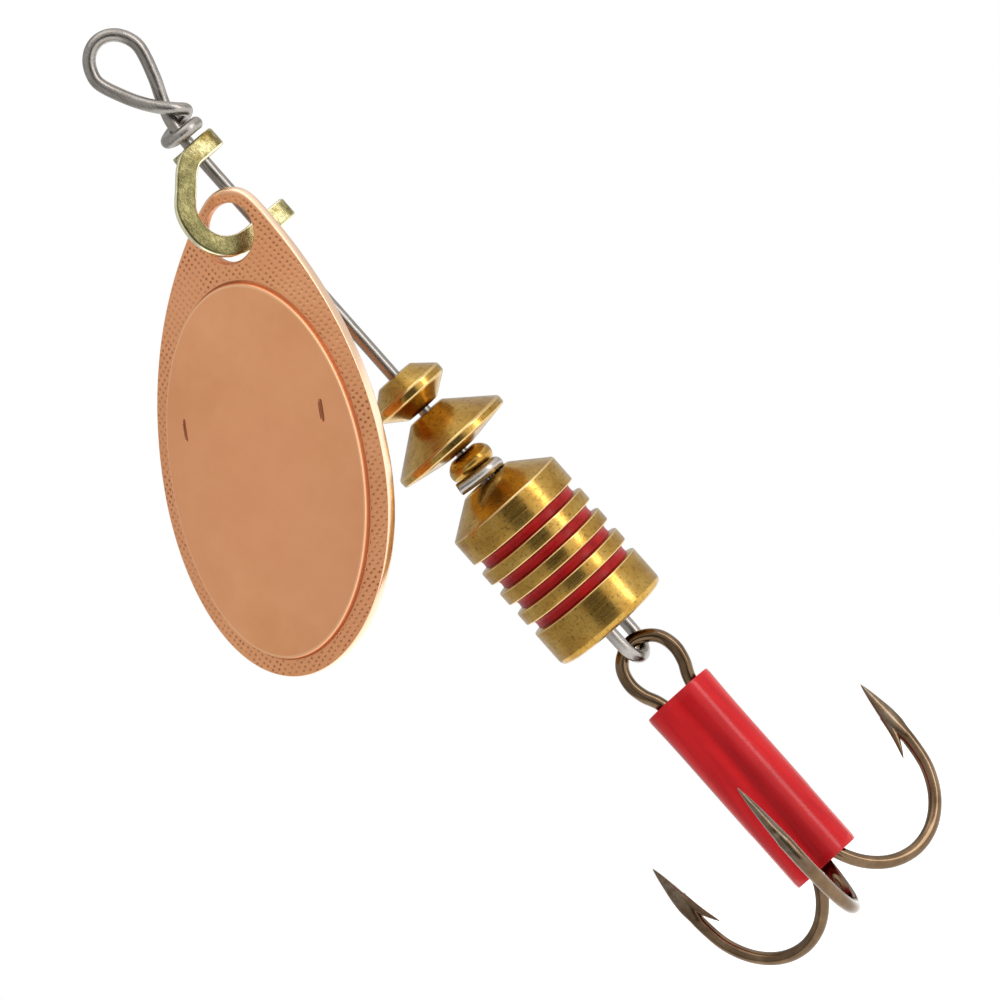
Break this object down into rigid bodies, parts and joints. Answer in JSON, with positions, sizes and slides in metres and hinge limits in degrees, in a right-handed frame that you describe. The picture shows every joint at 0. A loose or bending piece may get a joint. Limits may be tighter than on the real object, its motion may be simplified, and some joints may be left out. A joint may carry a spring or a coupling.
{
  "type": "inline spinner lure",
  "caption": "Inline spinner: a wire shaft with tie eye, clevis, egg-shaped metal blade, turned beads, a grooved weighted body and a sleeved treble hook hung on the wire's loop.",
  "frame": {"origin": "where the line bears, inside the top of the wire's tie eye", "axes": "+Z along the wire shaft towards the tie eye, so that the lure hangs down from the origin; the front, which the blade's face turns to, is -Y; the blade lies on the -X side"},
  "size_m": [0.0295, 0.0177, 0.0754],
  "materials": {
    "steel_wire": "drawn stainless wire, satin",
    "pale_brass": "coined strip, satin, with bright sheared edges",
    "copper_plate": "copper-plated brass sheet, satin panel and fine stippled border",
    "turned_brass": "turned, lightly tarnished",
    "red_enamel": "gloss enamel paint",
    "bronzed_steel": "bronzed hook steel, glossy",
    "red_plastic": "glossy flexible tube"
  },
  "bodies": {
    "wire": {"wire_shaft": "steel_wire"},
    "clevis": {"clevis": "pale_brass"},
    "blade": {"blade": "copper_plate"},
    "bicone_bead": {"bicone_bead": "turned_brass"},
    "cone_bead": {"cone_bead": "turned_brass"},
    "round_bead": {"round_bead": "turned_brass"},
    "body": {"body": "turned_brass", "enamel_ring_1": "red_enamel", "enamel_ring_2": "red_enamel", "enamel_ring_3": "red_enamel", "enamel_ring_4": "red_enamel"},
    "hook": {"hook_double": "bronzed_steel", "hook_single": "bronzed_steel", "hook_sleeve": "red_plastic"}
  },
  "joints": [
    {"name": "clevis_spin", "type": "hinge", "parent": "wire", "child": "clevis", "pos_m": [0, 0, -0.0124], "axis": [0, 0, 1], "continuous": true},
    {"name": "blade_swing", "type": "hinge", "parent": "clevis", "child": "blade", "pos_m": [-0.0017, -0.00195, -0.0156], "axis": [-0.4226, 0.9063, 0], "range_deg": [-12, 12]},
    {"name": "bicone_bead_spin", "type": "hinge", "parent": "wire", "child": "bicone_bead", "pos_m": [0, 0, -0.0298], "axis": [0, 0, 1], "continuous": true},
    {"name": "cone_bead_spin", "type": "hinge", "parent": "wire", "child": "cone_bead", "pos_m": [0, 0, -0.0333], "axis": [0, 0, 1], "continuous": true},
    {"name": "round_bead_spin", "type": "hinge", "parent": "wire", "child": "round_bead", "pos_m": [0, 0, -0.0359], "axis": [0, 0, 1], "continuous": true},
    {"name": "body_spin", "type": "hinge", "parent": "wire", "child": "body", "pos_m": [0, 0, -0.0436], "axis": [0, 0, 1], "continuous": true},
    {"name": "hook_swing", "type": "hinge", "parent": "wire", "child": "hook", "pos_m": [0.0001, 0, -0.05266], "axis": [0, 0.9871, -0.1599], "range_deg": [-75, 75]}
  ]
}
